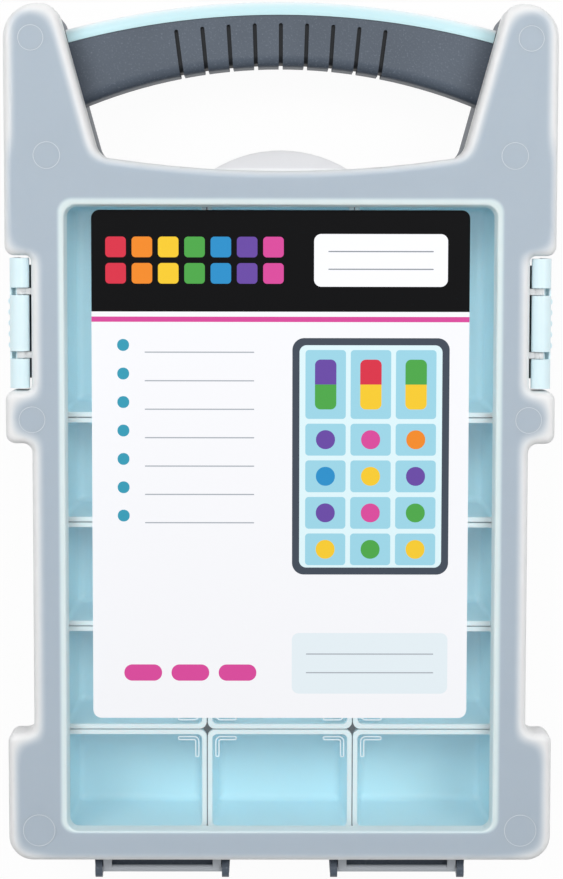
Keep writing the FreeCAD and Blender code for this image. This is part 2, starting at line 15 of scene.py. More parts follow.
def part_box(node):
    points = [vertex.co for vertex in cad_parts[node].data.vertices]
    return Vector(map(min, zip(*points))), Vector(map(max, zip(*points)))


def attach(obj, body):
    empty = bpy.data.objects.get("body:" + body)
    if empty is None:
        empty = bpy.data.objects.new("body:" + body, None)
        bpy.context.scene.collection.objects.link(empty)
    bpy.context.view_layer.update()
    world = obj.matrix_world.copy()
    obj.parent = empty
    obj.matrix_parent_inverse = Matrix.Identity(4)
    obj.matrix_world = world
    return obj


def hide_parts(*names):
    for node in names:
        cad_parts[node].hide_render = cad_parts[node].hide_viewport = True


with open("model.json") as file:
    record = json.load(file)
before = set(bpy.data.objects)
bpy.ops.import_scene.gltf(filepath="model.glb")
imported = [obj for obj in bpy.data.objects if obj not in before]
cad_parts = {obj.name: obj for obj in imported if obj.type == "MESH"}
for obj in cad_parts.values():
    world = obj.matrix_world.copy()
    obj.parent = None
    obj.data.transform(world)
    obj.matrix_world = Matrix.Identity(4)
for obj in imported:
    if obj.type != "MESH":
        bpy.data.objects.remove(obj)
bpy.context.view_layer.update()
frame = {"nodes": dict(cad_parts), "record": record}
nodes = frame["nodes"]
MM = 0.001

# %% [markdown]
# ## Small tools for the finishes
# Colours are given as sRGB hex values, while a shader wants linear light, so one function
# turns the first into the second. Node trees get long when each node is set by hand, so another
# function adds one node, sets what differs from its defaults and links what feeds it. Noise is
# sized by its scale, which is one over the size of its lumps.


# %% Colour and node helpers
def linear(hex_colour):
    """An sRGB hex colour as linear red, green, blue and alpha."""
    channels = [int(hex_colour[place:place + 2], 16) / 255 for place in (1, 3, 5)]
    light = [c / 12.92 if c <= 0.04045 else ((c + 0.055) / 1.055) ** 2.4 for c in channels]
    return (*light, 1.0)


def add_node(owner, kind, settings, links):
    """Adds one node: settings are properties or input values, links feed inputs from other outputs."""
    node = owner.node_tree.nodes.new(kind)
    for name, value in settings.items():
        if isinstance(name, str) and name in node.bl_rna.properties:
            setattr(node, name, value)
        else:
            node.inputs[name].default_value = value
    for name, source in links.items():
        owner.node_tree.links.new(source, node.inputs[name])
    return node


def new_finish(name, **sockets):
    """A new material with its shader's own sockets set, and the shader."""
    material = bpy.data.materials.new(name)
    material.use_nodes = True
    shader = material.node_tree.nodes["Principled BSDF"]
    for socket, value in sockets.items():
        shader.inputs[socket.replace("_", " ")].default_value = value
    return material, shader


def lump_scale(size):
    """The noise scale whose lumps are about this many metres across."""
    return 1 / size


print("white is", linear("#FFFFFF")[:3])

# %% [markdown]
# ## Charcoal polypropylene
# The base and the grip are moulded polypropylene with a spark-eroded grain, which scatters the light
# and leaves a soft satin face. A flat colour would look like paper, so a fine noise makes the grain
# as bump and as small painted glints, light specks mixed into the colour, and a wide, faint one lets
# the colour drift as it does in a thick moulding. The real grain is about 0.3 mm; it is drawn at
# 0.8 mm so that it shows at this distance.

# %% The charcoal finish
plastic_ior = 1.49
charcoal_drift = 45 * MM
charcoal_grain = 0.8 * MM
charcoal_grain_height = 0.12 * MM


def charcoal_polypropylene():
    # Half rough, so that its highlights are wide and soft
    material, shader = new_finish("charcoal_polypropylene", Roughness=0.5, IOR=plastic_ior)
    place = add_node(material, "ShaderNodeTexCoord", {}, {})
    drift = add_node(material, "ShaderNodeTexNoise", {"Scale": lump_scale(charcoal_drift), "Detail": 2.0},
                     {"Vector": place.outputs["Object"]})
    tone = add_node(material, "ShaderNodeMix",
                    {"data_type": "RGBA", 6: linear("#414A56"), 7: linear("#56606D")},
                    {0: drift.outputs["Fac"]})
    grain = add_node(material, "ShaderNodeTexNoise", {"Scale": lump_scale(charcoal_grain), "Detail": 3.0},
                     {"Vector": place.outputs["Object"]})
    bump = add_node(material, "ShaderNodeBump", {"Strength": 0.6, "Distance": charcoal_grain_height},
                    {"Height": grain.outputs["Fac"]})
    # Painted highlights: sparse light specks on the grain, mixed into its colour
    painted_glints = add_node(material, "ShaderNodeMapRange", {"From Min": 0.56, "From Max": 0.72, "To Max": 0.28},
                      {"Value": grain.outputs["Fac"]})
    speckled = add_node(material, "ShaderNodeMix", {"data_type": "RGBA", 7: linear("#8A94A2")},
                        {0: painted_glints.outputs[0], 6: tone.outputs[2]})
    material.node_tree.links.new(speckled.outputs[2], shader.inputs["Base Color"])
    material.node_tree.links.new(bump.outputs["Normal"], shader.inputs["Normal"])
    return material


charcoal = charcoal_polypropylene()
print("made", charcoal.name, "with", len(charcoal.node_tree.nodes), "nodes")

# %% [markdown]
# ## Pale aqua plastic
# The latches, the cap on the handle and the bins are a glossy pale aqua. A thin shell of light plastic
# lets some light through its edges, so the shader gets some subsurface light, and the thin bins get the
# most. The face is polished, but never quite flat: a wide, shallow noise bends the highlights. Painted
# light comes in as a second tone between two heights: a painted highlight on a bin's lip, and on the
# cap a bluer, darker top above sides kept pale as the white floor's painted reflection.

# %% The aqua finish
aqua_drift = 30 * MM
aqua_wave = 6 * MM
aqua_wave_height = 0.1 * MM


def aqua_plastic(name, low_colour, high_colour, glow, glow_path, top=None):
    """A glossy aqua finish. Top is a low height, a high height and the colour painted above them: a
    highlight on a bin's lip, a bluer top on the cap.
    """
    # Light that spreads inside turns bluer, because red is lost first
    material, shader = new_finish(name, Roughness=0.3, IOR=plastic_ior, Subsurface_Weight=glow,
                                  Subsurface_Radius=(1.0, 1.3, 1.4), Subsurface_Scale=glow_path)
    place = add_node(material, "ShaderNodeTexCoord", {}, {})
    drift = add_node(material, "ShaderNodeTexNoise", {"Scale": lump_scale(aqua_drift), "Detail": 2.0},
                     {"Vector": place.outputs["Object"]})
    tone = add_node(material, "ShaderNodeMix",
                    {"data_type": "RGBA", 6: linear(low_colour), 7: linear(high_colour)},
                    {0: drift.outputs["Fac"]})
    if top:
        split = add_node(material, "ShaderNodeSeparateXYZ", {}, {0: place.outputs["Object"]})
        height = add_node(material, "ShaderNodeMapRange",
                          {"interpolation_type": "SMOOTHSTEP", "From Min": top[0], "From Max": top[1]},
                          {"Value": split.outputs["Z"]})
        tone = add_node(material, "ShaderNodeMix", {"data_type": "RGBA", 7: linear(top[2])},
                        {0: height.outputs[0], 6: tone.outputs[2]})
    waves = add_node(material, "ShaderNodeTexNoise", {"Scale": lump_scale(aqua_wave), "Detail": 1.0},
                     {"Vector": place.outputs["Object"]})
    bump = add_node(material, "ShaderNodeBump", {"Strength": 0.12, "Distance": aqua_wave_height},
                    {"Height": waves.outputs["Fac"]})
    material.node_tree.links.new(tone.outputs[2], shader.inputs["Base Color"])
    material.node_tree.links.new(bump.outputs["Normal"], shader.inputs["Normal"])
    return material


print("aqua waves are", aqua_wave / MM, "mm wide")

# %% Latches, cap and bins
thick_glow_path = 1.5 * MM
thin_glow_path = 1.2 * MM
cap_round = 3.0 * MM
cap_tone_overshoot = 0.5 * MM
bin_lip_highlight = (2.6 * MM, 0.4 * MM)
cap_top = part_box("handle_cap")[1][2]
bin_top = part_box("small_bin_1_1")[1][2]
aqua = aqua_plastic("pale_aqua_polypropylene", "#DAF1F8", "#E4F6FB", 0.15, thick_glow_path)
# Painted reflection: the cap's rounded sides stay pale, as the white floor mirrored in them, and its top
# turns bluer and darker
cap_aqua = aqua_plastic("cap_aqua_polypropylene", "#E6F2F6", "#EBF5F8", 0.15, thick_glow_path,
                        (cap_top - cap_round, cap_top + cap_tone_overshoot, "#C4E7ED"))
# A painted highlight: the bins' lips turn paler over their top few millimetres, where light falls
bin_aqua = aqua_plastic("bin_aqua_polystyrene", "#C2EDFB", "#CBF2FC", 0.6, thin_glow_path,
                        (bin_top - bin_lip_highlight[0], bin_top - bin_lip_highlight[1], "#E8FBFF"))
print("made", aqua.name, cap_aqua.name, "and", bin_aqua.name)

# %% [markdown]
# ## The lid's plan
# The lid is one milky moulding. Its finish changes with the distance from its outline and from its
# window, so the shader needs both. The outline is taken as blocks across the case and a pair of arms,
# with a hand edge that bows towards the hinge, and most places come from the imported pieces' boxes.

# %% Sizes of the lid's plan
lid_low, lid_high = (Vector(corner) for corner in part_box("lid"))
label_low, label_high = (Vector(corner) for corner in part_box("label_sheet"))
latch_low, latch_high = (Vector(corner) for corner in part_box("latch_right"))
case_half = lid_high.x
waist_depth = 11.0 * MM
waist_half = case_half - waist_depth
latch_gap = 1.1 * MM
hinge_reach = 8.65 * MM
foot_length = 54.9 * MM
bump_length = 22.1 * MM
hand_edge = (116.1 * MM, 121.5 * MM)
hand_half = 76.0 * MM
hand_bow = (hand_edge[1] - hand_edge[0]) / hand_half ** 2
tab_half = 42.0 * MM
arm_tip_half = 93.4 * MM
arm_tip_y = 184.4 * MM
lid_end = lid_low.y + hinge_reach
latch_recess = (latch_low.y - latch_gap, latch_high.y + latch_gap)
lid_blocks = [
    (waist_half, lid_end, hand_edge[0]),
    (case_half, lid_end, lid_end + foot_length),
    (case_half, latch_recess[0] - bump_length, latch_recess[0]),
    (case_half, latch_recess[1], hand_edge[0]),
]
print("the lid's outline has", len(lid_blocks), "blocks and two arms")

# %% Sizes of the window
label_side_margin = 10.1 * MM
label_end_margin = 46.7 * MM
label_top_margin = 1.2 * MM
lid_wall = 2.0 * MM
window_half = label_high.x + label_side_margin
window_ends = (label_low.y - label_end_margin, label_high.y + label_top_margin)
window_top = label_low.z
window_under = window_top - lid_wall
print("window:", round(2 * window_half, 4), "by", round(window_ends[1] - window_ends[0], 4), "m")

# %% [markdown]
# ## Frosted polypropylene
# The lid's border was etched in the mould, so light scatters inside it. Subsurface scattering with a
# path longer than the wall gives the milky look: light leaks out below over the dark deck, which leaves
# the border greyer, and comes back at the rim, where the wall turns down. The deck's soft shade is drawn
# too, as a tone that starts a little way in from the outline. A point's depth is its distance inside the
# nearest block or arm, and smooth minima and maxima round the shade's corners, as the real ones are.

# %% Depth inside the outline
corner_blend = 12.0 * MM
step_blend = 11.0 * MM


def depth_in_blocks(material, across, along):
    """A socket that holds how far inside the lid's blocks a point lies, in metres."""
    spread = add_node(material, "ShaderNodeMath", {"operation": "MULTIPLY"}, {0: across, 1: across})
    bowed = add_node(material, "ShaderNodeMath", {"operation": "MULTIPLY_ADD", 1: -hand_bow},
                     {0: spread.outputs[0], 2: along})
    deepest = None
    for half, low, high in lid_blocks:
        end = bowed.outputs[0] if high == hand_edge[0] else along
        side = add_node(material, "ShaderNodeMath", {"operation": "SUBTRACT", 0: half}, {1: across})
        near = add_node(material, "ShaderNodeMath", {"operation": "SUBTRACT", 1: low}, {0: along})
        far = add_node(material, "ShaderNodeMath", {"operation": "SUBTRACT", 0: high}, {1: end})
        ends = add_node(material, "ShaderNodeMath", {"operation": "MINIMUM"},
                        {0: near.outputs[0], 1: far.outputs[0]})
        depth = add_node(material, "ShaderNodeMath", {"operation": "SMOOTH_MIN", 2: corner_blend},
                         {0: side.outputs[0], 1: ends.outputs[0]})
        if deepest:
            depth = add_node(material, "ShaderNodeMath", {"operation": "SMOOTH_MAX", 2: step_blend},
                             {0: depth.outputs[0], 1: deepest.outputs[0]})
        deepest = depth
    return deepest.outputs[0]


def depth_in_arms(material, across, along):
    """A socket that holds how far inside the lid's two arms a point lies, in metres."""
    lean = (arm_tip_half - hand_half) / (lid_high.y - hand_edge[1])
    outer = add_node(material, "ShaderNodeMath", {"operation": "SUBTRACT", 0: case_half}, {1: across})
    slant = add_node(material, "ShaderNodeMath",
                     {"operation": "MULTIPLY_ADD", 1: -lean, 2: hand_edge[1] * lean - hand_half},
                     {0: along})
    inner = add_node(material, "ShaderNodeMath", {"operation": "ADD"}, {0: across, 1: slant.outputs[0]})
    tip = add_node(material, "ShaderNodeMath", {"operation": "SUBTRACT", 0: arm_tip_y}, {1: along})
    root = add_node(material, "ShaderNodeMath", {"operation": "SUBTRACT", 1: latch_recess[1]}, {0: along})
    depth = add_node(material, "ShaderNodeMath", {"operation": "MINIMUM"},
                     {0: outer.outputs[0], 1: inner.outputs[0]})
    for limit in (tip, root):
        depth = add_node(material, "ShaderNodeMath", {"operation": "SMOOTH_MIN", 2: corner_blend},
                         {0: depth.outputs[0], 1: limit.outputs[0]})
    return depth.outputs[0]


print("corners blend over", corner_blend / MM, "mm and steps over", step_blend / MM, "mm")

# %% [markdown]
# The bright rims of the bins glow through the lid beside its window. That light is painted into the
# lid's colour, as one soft pale frame with rounded corners. The thumb tab at the hand edge has no deck
# under it, so it shows the pale floor instead.

# %% The window's painted glow and the thumb tab
glow_side = 3.4 * MM
glow_end = 1.6 * MM
glow_top = 3.6 * MM
glow_corner = 6.0 * MM
glow_inside = 1.2 * MM
glow_outside = 0.8 * MM
tab_start = 0.2 * MM
tab_fade = 1.2 * MM


def painted_window_glow(material, spot):
    """A socket that is 1 in a rounded frame about the window and fades to 0 beyond it."""
    low = Vector((-window_half - glow_side, window_ends[0] - glow_end))
    high = Vector((window_half + glow_side, window_ends[1] + glow_top))
    half = (high - low) / 2 - Vector((glow_corner, glow_corner))
    moved = add_node(material, "ShaderNodeVectorMath",
                     {"operation": "SUBTRACT", 1: (*(low + high) / 2, 0)}, {0: spot})
    folded = add_node(material, "ShaderNodeVectorMath", {"operation": "ABSOLUTE"}, {0: moved.outputs[0]})
    beyond = add_node(material, "ShaderNodeVectorMath", {"operation": "SUBTRACT", 1: (*half, 1)},
                      {0: folded.outputs[0]})
    outside = add_node(material, "ShaderNodeVectorMath", {"operation": "MAXIMUM"}, {0: beyond.outputs[0]})
    reach = add_node(material, "ShaderNodeVectorMath", {"operation": "LENGTH"}, {0: outside.outputs[0]})
    return add_node(material, "ShaderNodeMapRange",
                    {"interpolation_type": "SMOOTHSTEP", "From Min": glow_corner - glow_inside,
                     "From Max": glow_corner + glow_outside, "To Min": 1.0, "To Max": 0.0},
                    {"Value": reach.outputs["Value"]}).outputs[0]


def thumb_tab(material, across, along):
    """A socket that is 1 on the tab past the hand edge."""
    past_edge = add_node(material, "ShaderNodeMapRange",
                         {"From Min": hand_edge[0] + tab_start, "From Max": hand_edge[0] + tab_fade},
                         {"Value": along})
    between = add_node(material, "ShaderNodeMath", {"operation": "LESS_THAN", 1: tab_half}, {0: across})
    return add_node(material, "ShaderNodeMath", {"operation": "MULTIPLY"},
                    {0: past_edge.outputs[0], 1: between.outputs[0]}).outputs[0]


print("the glow reaches", glow_side / MM, "mm past the window's sides")

# %% The frosted finish
frost_path = 3 * MM
frost_grain = 0.7 * MM
frost_grain_height = 0.04 * MM
rim_depth = 0.8 * MM
field_depth = 5.8 * MM


def frosted_polypropylene():
    # Its diffuse light all comes from inside, so its shading is soft
    material, shader = new_finish("frosted_polypropylene", Roughness=0.45, IOR=1.4, Subsurface_Weight=1.0,
                                  Subsurface_Radius=(1.0, 1.0, 1.0), Subsurface_Scale=frost_path,
                                  Transmission_Weight=0.1)
    place = add_node(material, "ShaderNodeTexCoord", {}, {})
    split = add_node(material, "ShaderNodeSeparateXYZ", {}, {0: place.outputs["Object"]})
    across = add_node(material, "ShaderNodeMath", {"operation": "ABSOLUTE"},
                      {0: split.outputs["X"]}).outputs[0]
    along = split.outputs["Y"]
    in_blocks = depth_in_blocks(material, across, along)
    in_arms = depth_in_arms(material, across, along)
    depth = add_node(material, "ShaderNodeMath", {"operation": "SMOOTH_MAX", 2: step_blend},
                     {0: in_blocks, 1: in_arms})
    # Painted light and shade: the rim keeps a near-white tone, and the field a little way in turns greyer as
    # the deck's shade
    shade = add_node(material, "ShaderNodeMapRange",
                     {"interpolation_type": "SMOOTHSTEP", "From Min": rim_depth, "From Max": field_depth},
                     {"Value": depth.outputs[0]})
    tone = add_node(material, "ShaderNodeMix",
                    {"data_type": "RGBA", 6: linear("#FCFDFE"), 7: linear("#BCC8D3")},
                    {0: shade.outputs[0]})
    tabbed = add_node(material, "ShaderNodeMix", {"data_type": "RGBA", 7: linear("#E2E2E4")},
                      {0: thumb_tab(material, across, along), 6: tone.outputs[2]})
    # Painted light: a pale frame about the window, where the bins' bright rims show through the border
    lit = add_node(material, "ShaderNodeMix", {"data_type": "RGBA", 7: linear("#E6F6FA")},
                   {0: painted_window_glow(material, place.outputs["Object"]), 6: tabbed.outputs[2]})
    grain = add_node(material, "ShaderNodeTexNoise", {"Scale": lump_scale(frost_grain), "Detail": 2.0},
                     {"Vector": place.outputs["Object"]})
    bump = add_node(material, "ShaderNodeBump", {"Strength": 0.25, "Distance": frost_grain_height},
                    {"Height": grain.outputs["Fac"]})
    material.node_tree.links.new(lit.outputs[2], shader.inputs["Base Color"])
    material.node_tree.links.new(bump.outputs["Normal"], shader.inputs["Normal"])
    return material


frosted = frosted_polypropylene()
print("made", frosted.name, "with", len(frosted.node_tree.nodes), "nodes")

# %% [markdown]
# ## Clear and plain polypropylene
# The window was polished in the mould, so the bins show sharply through it. It could be made with
# transmission, but then the lamps' light wouldn't reach the bins, so the face is mostly see-through by
# its alpha and keeps its gloss. The hinge rods are the same plastic with no dark deck behind them, so
# they stay a plain grey. Edges that catch the light look nearly white, so they get a painted
# highlight: a near-white finish of their own.

# %% The clear window, the rods and the bright edges
clear_flow = 18 * MM
clear_flow_height = 0.1 * MM


def clear_polypropylene():
    # Nearly smooth, with slow waves where the plastic flowed
    material, shader = new_finish("clear_polypropylene", Base_Color=linear("#EAF6FC"), Roughness=0.12,
                                  IOR=plastic_ior, Alpha=0.08)
    place = add_node(material, "ShaderNodeTexCoord", {}, {})
    flow = add_node(material, "ShaderNodeTexNoise", {"Scale": lump_scale(clear_flow), "Detail": 2.0},
                    {"Vector": place.outputs["Object"]})
    bump = add_node(material, "ShaderNodeBump", {"Strength": 0.1, "Distance": clear_flow_height},
                    {"Height": flow.outputs["Fac"]})
    material.node_tree.links.new(bump.outputs["Normal"], shader.inputs["Normal"])
    return material


clear = clear_polypropylene()
natural = new_finish("natural_polypropylene", Base_Color=linear("#B9BEC4"), Roughness=0.3,
                     IOR=plastic_ior)[0]
# A painted highlight: a near-white finish for edges that catch the light
painted_edge_highlight = new_finish("edge_highlight_polypropylene", Base_Color=linear("#F2FAFD"), Roughness=0.3,
                         IOR=plastic_ior)[0]
print("made", clear.name, natural.name, "and", painted_edge_highlight.name)

# %% [markdown]
# ## The printed label
# A coated paper sheet lies on the window. Its print is a plain one of its own: a dark band with colour
# swatches and a blank name plate, ruled lines for a list, and a plan of the bins. Flat print has no
# thickness, so it is drawn in the material and not modelled. Each panel is a mask: a point's distance
# outside a smaller box is compared with the corner's radius. Repeats fold the sheet into one cell.

# %% Print masks
hairline = 0.01


def printed_panel(material, sheet, middle, size, corner, pitch=None):
    """A mask, 1 inside a rounded panel. All sizes are in millimetres from the sheet's middle."""
    half = [side / 2 - corner for side in size]
    moved = add_node(material, "ShaderNodeVectorMath", {"operation": "SUBTRACT", 1: (*middle, 0)},
                     {0: sheet})
    if pitch:
        moved = add_node(material, "ShaderNodeVectorMath",
                         {"operation": "WRAP", 1: (pitch[0] / 2, pitch[1] / 2, 1),
                          2: (-pitch[0] / 2, -pitch[1] / 2, -1)}, {0: moved.outputs[0]})
    folded = add_node(material, "ShaderNodeVectorMath", {"operation": "ABSOLUTE"}, {0: moved.outputs[0]})
    beyond = add_node(material, "ShaderNodeVectorMath", {"operation": "SUBTRACT", 1: (*half, 1)},
                      {0: folded.outputs[0]})
    outside = add_node(material, "ShaderNodeVectorMath", {"operation": "MAXIMUM"}, {0: beyond.outputs[0]})
    reach = add_node(material, "ShaderNodeVectorMath", {"operation": "LENGTH"}, {0: outside.outputs[0]})
    return add_node(material, "ShaderNodeMath", {"operation": "LESS_THAN", 1: corner},
                    {0: reach.outputs["Value"]}).outputs[0]


def panel_rows(material, sheet, middle, size, corner, pitch, counts):
    """A mask of panels in rows and columns, laid out about a middle."""
    first = [middle[i] - pitch[i] * (counts[i] - 1) / 2 for i in (0, 1)]
    whole = [pitch[i] * counts[i] for i in (0, 1)]
    panels = printed_panel(material, sheet, first, size, corner, pitch)
    inside = printed_panel(material, sheet, middle, whole, hairline)
    return add_node(material, "ShaderNodeMath", {"operation": "MULTIPLY"},
                    {0: panels, 1: inside}).outputs[0]


print("a panel's corner is at least", hairline, "mm")

# %% [markdown]
# The layout is a short list, in millimetres from the sheet's middle. A row of one panel has no pitch.
# Two of the inks are sets of craft colours: one runs across the swatches, and the other picks a colour
# by chance for each bin of the plan, from a noise that is constant in each cell.

# %% The label's layout
white_paper = "#F5F5F8"
craft_inks = ("#D8364A", "#F08A2C", "#F4C933", "#4FA64B", "#2F8FC8", "#6A4BA3", "#D84C9B")
swatch_span = (-74.0, 3.0)
plan_pitch = (19.0, 15.5)
plan_corner = (9.5, -12.0)
large_pitch = (19, 40)
label_rows = [
    ("dark band", (0, 86.5), (170, 43), hairline, None, None, "#060608"),
    ("swatches", (-36, 86.5), (8.6, 8.6), 1.6, (11, 11), (7, 2), "spectrum"),
    ("name plate", (42, 86.5), (56, 22), 3.0, None, None, "#F7F7FA"),
    ("name lines", (42, 86.5), (44, 0.5), 0.2, (60, 7.4), (1, 2), "#8A9098"),
    ("pink rule", (0, 61.8), (170, 2.2), hairline, None, None, "#D84C9B"),
    ("list lines", (-34, 12), (46, 0.5), 0.2, (60, 12), (1, 7), "#A7ADB5"),
    ("list dots", (-66, 15), (5, 5), 2.4, (12, 12), (1, 7), "#3A9BB5"),
    ("plan's wall", (38, 4), (66, 100), 5.0, None, None, "#454D59"),
    ("plan's floor", (38, 4), (60, 94), 3.0, None, None, "#DDF3F8"),
    ("small bins", (38, -12), (17, 13.5), 1.5, plan_pitch, (3, 4), "#9CD3E4"),
    ("large bins", (38, 34.5), (17, 29), 1.5, large_pitch, (3, 1), "#9CD3E4"),
    ("round beads", (38, -12), (8, 8), 3.9, plan_pitch, (3, 4), "lots"),
    ("long spools", (38, 34.5), (9, 21), 2.4, large_pitch, (3, 1), "lots"),
    ("pink tags", (-38, -88), (16, 7), 3.4, (20, 12), (3, 1), "#D84C9B"),
    ("note panel", (38, -84), (66, 26), 3.0, None, None, "#E4EEF3"),
    ("note lines", (38, -84), (54, 0.5), 0.2, (70, 8), (1, 2), "#A7ADB5"),
]
print("the label has", len(label_rows), "kinds of panel")


# %% The label's inks
def craft_colours(material, source):
    """Flat craft colours picked by a value from 0 to 1."""
    ramp = add_node(material, "ShaderNodeValToRGB", {}, {"Fac": source})
    ramp.color_ramp.interpolation = "CONSTANT"
    for place, ink in enumerate(craft_inks):
        share = place / len(craft_inks)
        stop = ramp.color_ramp.elements[0] if place == 0 else ramp.color_ramp.elements.new(share)
        stop.position = share
        stop.color = linear(ink)
    ramp.color_ramp.elements.remove(ramp.color_ramp.elements[-1])
    return ramp.outputs["Color"]


def label_inks(material, sheet):
    """The two sets of craft colours, as sockets by name."""
    split = add_node(material, "ShaderNodeSeparateXYZ", {}, {0: sheet})
    run = add_node(material, "ShaderNodeMapRange", {"From Min": swatch_span[0], "From Max": swatch_span[1]},
                   {"Value": split.outputs["X"]})
    moved = add_node(material, "ShaderNodeVectorMath", {"operation": "SUBTRACT", 1: (*plan_corner, 0)},
                     {0: sheet})
    cell = add_node(material, "ShaderNodeVectorMath", {"operation": "SNAP", 1: (*plan_pitch, 1)},
                    {0: moved.outputs[0]})
    chance = add_node(material, "ShaderNodeTexWhiteNoise", {"noise_dimensions": "3D"},
                      {"Vector": cell.outputs[0]})
    return {"spectrum": craft_colours(material, run.outputs[0]),
            "lots": craft_colours(material, chance.outputs[0])}


print("craft colours:", len(craft_inks))

# %% The label's paper
paper_fibre = 1.2 * MM
paper_fibre_height = 0.05 * MM


def coated_label_paper():
    # Clay-coated paper has little gloss, so the dark band stays dark
    material, shader = new_finish("coated_label_paper", Roughness=0.5, IOR=1.45, Specular_IOR_Level=0.12)
    middle = (label_low + label_high) / (2 * MM)
    place = add_node(material, "ShaderNodeTexCoord", {}, {})
    sheet = add_node(material, "ShaderNodeMapping",
                     {"Location": (-middle.x, -middle.y, 0), "Scale": (1 / MM, 1 / MM, 0)},
                     {"Vector": place.outputs["Object"]}).outputs[0]
    inks = label_inks(material, sheet)
    colour = linear(white_paper)
    for name, centre, size, corner, pitch, counts, ink in label_rows:
        if pitch:
            mask = panel_rows(material, sheet, centre, size, corner, pitch, counts)
        else:
            mask = printed_panel(material, sheet, centre, size, corner)
        settings = {"data_type": "RGBA", "label": name}
        links = {0: mask}
        for socket, value in ((6, colour), (7, inks[ink] if ink in inks else linear(ink))):
            if isinstance(value, tuple):
                settings[socket] = value
            else:
                links[socket] = value
        colour = add_node(material, "ShaderNodeMix", settings, links).outputs[2]

    # Only the upper face is printed
    facing = add_node(material, "ShaderNodeSeparateXYZ", {}, {0: place.outputs["Normal"]})
    printed = add_node(material, "ShaderNodeMath", {"operation": "GREATER_THAN", 1: 0.5},
                       {0: facing.outputs["Z"]})
    shown = add_node(material, "ShaderNodeMix", {"data_type": "RGBA", 6: linear(white_paper)},
                     {0: printed.outputs[0], 7: colour})
    fibre = add_node(material, "ShaderNodeTexNoise", {"Scale": lump_scale(paper_fibre), "Detail": 3.0},
                     {"Vector": place.outputs["Object"]})
    bump = add_node(material, "ShaderNodeBump", {"Strength": 0.08, "Distance": paper_fibre_height},
                    {"Height": fibre.outputs["Fac"]})
    material.node_tree.links.new(shown.outputs[2], shader.inputs["Base Color"])
    material.node_tree.links.new(bump.outputs["Normal"], shader.inputs["Normal"])
    return material


paper = coated_label_paper()
print("made", paper.name, "with", len(paper.node_tree.nodes), "nodes")

# %% [markdown]
# ## Dressing the moulded pieces
# Most pieces already have the right shape, so they only need their finish. A node's record names its
# material slot, and each slot has one finish here; the cap alone gets its own aqua. Thin label paper
# and thin bin walls let much of the light through. Full scattering there would wash out the colours, so
# the label and the row of bins that lies clear of it keep their finish and just cast no shadows.

# %% Give each node its finish
finishes = {"charcoal_plastic": charcoal, "aqua_plastic": aqua, "bin_plastic": bin_aqua,
            "frosted_plastic": frosted, "label_paper": paper}
slots = {part["node"]: part["material_slot"] for part in frame["record"]["subparts"]}
for name, node in nodes.items():
    node.material_slots[0].material = finishes[slots[name]]
nodes["handle_cap"].material_slots[0].material = cap_aqua
for name in ("label_sheet", "small_bin_1_1", "small_bin_1_2", "small_bin_1_3"):
    nodes[name].visible_shadow = False
print("dressed", len(nodes), "nodes")

# %% [markdown]
# ## Working on copies
# A node's own mesh is never changed, so a piece that needs more is a copy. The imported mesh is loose
# triangles, so the copy is merged first. Weighted normals then keep wide flat faces flat beside rounded
# edges, where plain smooth shading would darken them.

# %% Helpers for copied pieces
merge_distance = 0.0005 * MM
hair = 0.05 * MM
crease_angle = math.radians(30)
flat_angle = math.radians(1)


def select_only(piece):
    """Deselects everything and makes one piece active."""
    bpy.ops.object.select_all(action="DESELECT")
    piece.select_set(True)
    bpy.context.view_layer.objects.active = piece


def merged_copy(node, name):
    """A copy of a node's mesh with its triangles joined, selected and active."""
    piece = bpy.data.objects.new(name, node.data.copy())
    bpy.context.collection.objects.link(piece)
    select_only(piece)
    bpy.ops.mesh.customdata_custom_splitnormals_clear()
    bpy.ops.object.mode_set(mode="EDIT")
    bpy.ops.mesh.select_all(action="SELECT")
    bpy.ops.mesh.remove_doubles(threshold=merge_distance)
    bpy.ops.object.mode_set(mode="OBJECT")
    return piece


def shade_moulding(piece):
    """Shades a piece smooth up to its creases, with flat faces kept flat."""
    bpy.ops.object.shade_smooth_by_angle(angle=crease_angle)
    bpy.ops.object.modifier_add(type="WEIGHTED_NORMAL")
    piece.modifiers[-1].keep_sharp = True
    bpy.ops.object.modifier_apply(modifier=piece.modifiers[-1].name)


print("points closer than", merge_distance / MM, "mm are merged")

# %% [markdown]
# ## The lid's border and window
# The lid is one solid with several finishes. The faces of the sunk window and of the keeper ribs under
# it get the clear one, and the hinge rods the plain grey one. Each keeper's edge shows as a bright
# line, so its tip is inset: the ring that is left round it gets the near-white finish, a painted highlight.

# %% Copy the lid and sort its faces
keeper_depth = 6.0 * MM
level_share = 0.99
lid_shell = merged_copy(nodes["lid"], "lid_moulding")
shade_moulding(lid_shell)
lid_shell.data.materials.clear()
for finish in (frosted, clear, natural, painted_edge_highlight):
    lid_shell.data.materials.append(finish)
clear_slot, natural_slot, painted_highlight_slot = 1, 2, 3


def within_window(face):
    """Whether a face lies within the window's outline and under its top face."""
    inside = abs(face.center.x) < window_half and window_ends[0] < face.center.y < window_ends[1]
    return inside and window_under - keeper_depth < face.center.z < window_top + hair


for face in lid_shell.data.polygons:
    level = abs(face.normal.z) > level_share
    below = face.center.z < window_under - hair
    if face.center.y < lid_end - hair:
        face.material_index = natural_slot
    if within_window(face) and (level or below):
        face.material_index = clear_slot
print("lid:", len(lid_shell.data.polygons), "faces")

